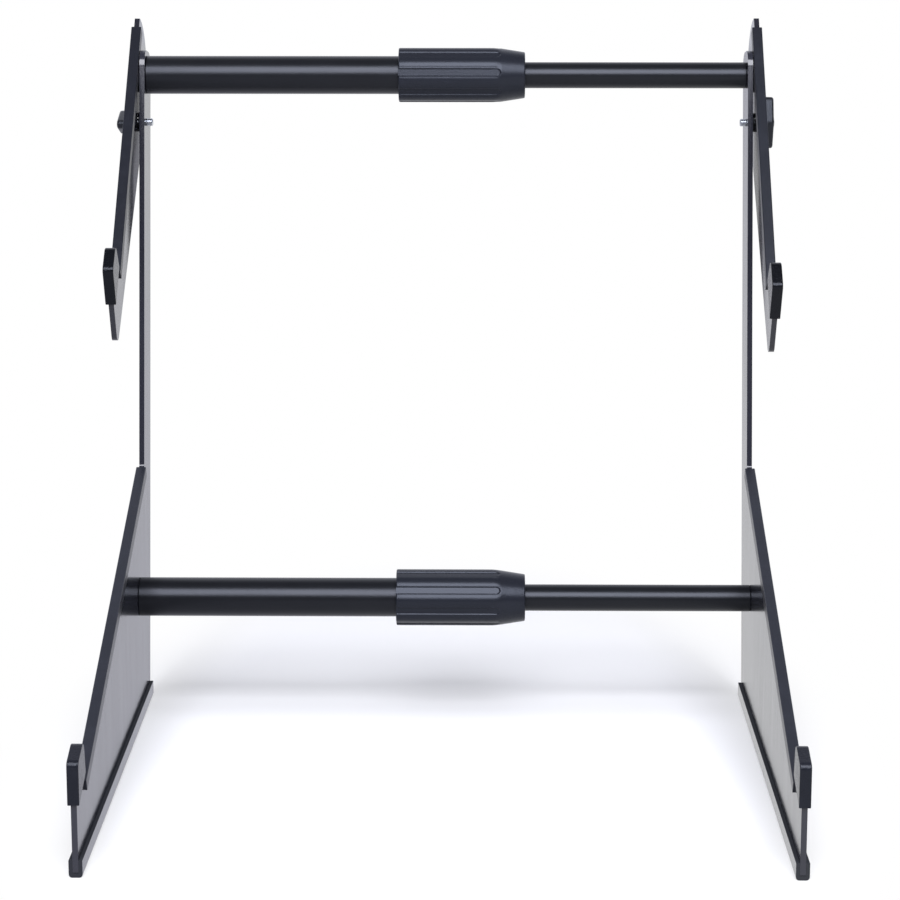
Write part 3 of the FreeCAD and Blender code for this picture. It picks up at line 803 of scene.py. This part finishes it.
class STAND_OT_stage(Operator):
    """White table, light tent, soft lamp and the camera"""

    bl_idname = "stand.stage"
    bl_label = "Stage"

    # parts of a direction between which the tent turns white to the back, dim upwards and bright at its top
    BACK_EDGE = (-0.1, 0.5)
    HIGH_EDGE = (0.65, 1.05)
    TOP_EDGE = (0.86, 1.0)

    def lamp(self, stage):
        """A wide soft lamp above the camera."""
        light = bpy.data.lights.new("soft_lamp", "AREA")
        light.shape = "RECTANGLE"
        light.size, light.size_y = stage.key_size
        light.energy = stage.key_power
        light.color = stage.key_colour
        lamp = bpy.data.objects.new("soft_lamp", light)
        bpy.context.scene.collection.objects.link(lamp)
        lamp.location = stage.key_place
        across, away, up = np.array(stage.key_aim) - np.array(stage.key_place)
        lamp.rotation_euler = (math.atan2(math.hypot(across, away), -up), 0.0, math.atan2(-across, away))

    def floor(self, colour, stage):
        """A wide flat grid, matt in an oval under the stand and turning to plain white further away.

        It is an emitted white in reflections and through clear pieces too, a painted reflection that is a
        little dimmer on the left.
        """
        reach = np.linspace(-stage.table_reach, stage.table_reach, 13)
        flat = np.stack(np.broadcast_arrays(reach[None, :], reach[:, None], 0.0), axis=-1)
        floor = surface("floor", flat, close_columns=False)
        net = finish("white_table")
        grain = net.noise(60.0, 3.0, 0.6)
        matt = net.add("BsdfDiffuse", {}, {"Color": net.blend(grain, shade(colour, 0.995), colour)}, "BSDF")
        camera = net.ray("Camera")
        # painted reflection: what reflections and clear pieces show of the table, dimmer on its left half
        aside = net.part("X").between(-stage.painted_reflection_reach, stage.painted_reflection_reach)
        shine = net.blend(aside, tuple(stage.left_painted_reflection), tuple(stage.right_painted_reflection))
        tone = net.blend(camera, shine, (1.0, 1.0, 1.0))
        white = net.add("Emission", {}, {"Color": tone, "Strength": 1.0}, "Emission")
        oval = net.stretched((stage.white_squeeze, 1.0, 1.0))
        distance = net.add("VectorMath", {"operation": "LENGTH"}, {0: oval}, "Value")
        far = distance.between(stage.white_begin, stage.white_end)
        seen = stage.near_white + far * (1.0 - stage.near_white)
        share = camera * seen + net.ray("Glossy") + net.ray("Transmission")
        mix = net.add("MixShader", {}, {0: share, 1: matt, 2: white}, "Shader")
        net.add("OutputMaterial", {}, {"Surface": mix})
        floor.data.materials.append(net.owner)

    def world(self, stage):
        """A light tent, white to the camera and through clear pieces.

        Reflections show it white low behind the stand and dim elsewhere. Most of its light on the stand
        comes from its top, which leans to the front.
        """
        world = bpy.data.worlds.new("light_tent")
        bpy.context.scene.world = world
        net = Net(world, "Generated")
        back, up = net.part("Y"), net.part("Z")
        behind = back.between(*self.BACK_EDGE) * (1.0 - up.between(*self.HIGH_EDGE))
        mirrored = stage.gloom + behind * (1.0 - stage.gloom)
        camera, shine = net.ray("Camera") + net.ray("Transmission"), net.ray("Glossy")
        leaning = up * math.cos(stage.top_lean) - back * math.sin(stage.top_lean)
        overhead = stage.gloom + leaning.between(*self.TOP_EDGE) * stage.top_light
        strength = camera + shine * mirrored + (1.0 - camera - shine) * overhead * stage.surround
        tone = net.blend(camera, tuple(stage.tent_colour), (1.0, 1.0, 1.0))
        light = net.add("Background", {}, {"Color": tone, "Strength": strength}, "Background")
        net.add("OutputWorld", {}, {"Surface": light})

    def camera(self, stage):
        """The camera that looks a little down on the stand from the front."""
        data = bpy.data.cameras.new("front_camera")
        data.sensor_fit = "HORIZONTAL"
        data.sensor_width = 36.0
        data.lens = stage.lens
        data.shift_y = stage.camera_shift
        data.clip_end = 50.0
        camera = bpy.data.objects.new("front_camera", data)
        bpy.context.scene.collection.objects.link(camera)
        camera.location = stage.camera_place
        camera.rotation_euler = (math.pi / 2 - stage.camera_pitch, 0.0, stage.camera_yaw)
        bpy.context.scene.camera = camera

    def execute(self, context):
        colours, _, stage = settings()
        context.scene.view_settings.view_transform = "Standard"
        self.floor(tuple(colours.floor), stage)
        self.world(stage)
        self.lamp(stage)
        self.camera(stage)
        return {"FINISHED"}


class STAND_PT_pieces(Panel):
    """The stand's pieces and settings"""

    bl_idname = "STAND_PT_pieces"
    bl_label = "Desktop stand"
    bl_space_type = "VIEW_3D"
    bl_region_type = "UI"
    bl_category = "Stand"

    def draw(self, context):
        layout = self.layout
        for operator in OPERATORS:
            layout.operator(operator.bl_idname)
        for group in settings():
            for name in group.__annotations__:
                layout.prop(group, name)


GROUPS = (StandColours, StandSizes, StageSizes)
OPERATORS = (
    STAND_OT_panels,
    STAND_OT_rubber,
    STAND_OT_tubes,
    STAND_OT_collars,
    STAND_OT_bolts,
    STAND_OT_knobs,
    STAND_OT_bushes,
    STAND_OT_stage,
)


def register():
    """Registers the classes and hangs the settings on the scene."""
    for kind in (*GROUPS, *OPERATORS, STAND_PT_pieces):
        bpy.utils.register_class(kind)
    bpy.types.Scene.stand_colours = PointerProperty(type=StandColours)
    bpy.types.Scene.stand_sizes = PointerProperty(type=StandSizes)
    bpy.types.Scene.stand_stage = PointerProperty(type=StageSizes)


def unregister():
    """Takes the settings and the classes away again."""
    del bpy.types.Scene.stand_stage
    del bpy.types.Scene.stand_sizes
    del bpy.types.Scene.stand_colours
    for kind in reversed((*GROUPS, *OPERATORS, STAND_PT_pieces)):
        bpy.utils.unregister_class(kind)


def main():
    """Builds the pieces and the stage in order."""
    register()
    for operator in OPERATORS:
        group, name = operator.bl_idname.split(".")
        getattr(getattr(bpy.ops, group), name)()


if __name__ == "__main__":
    main()
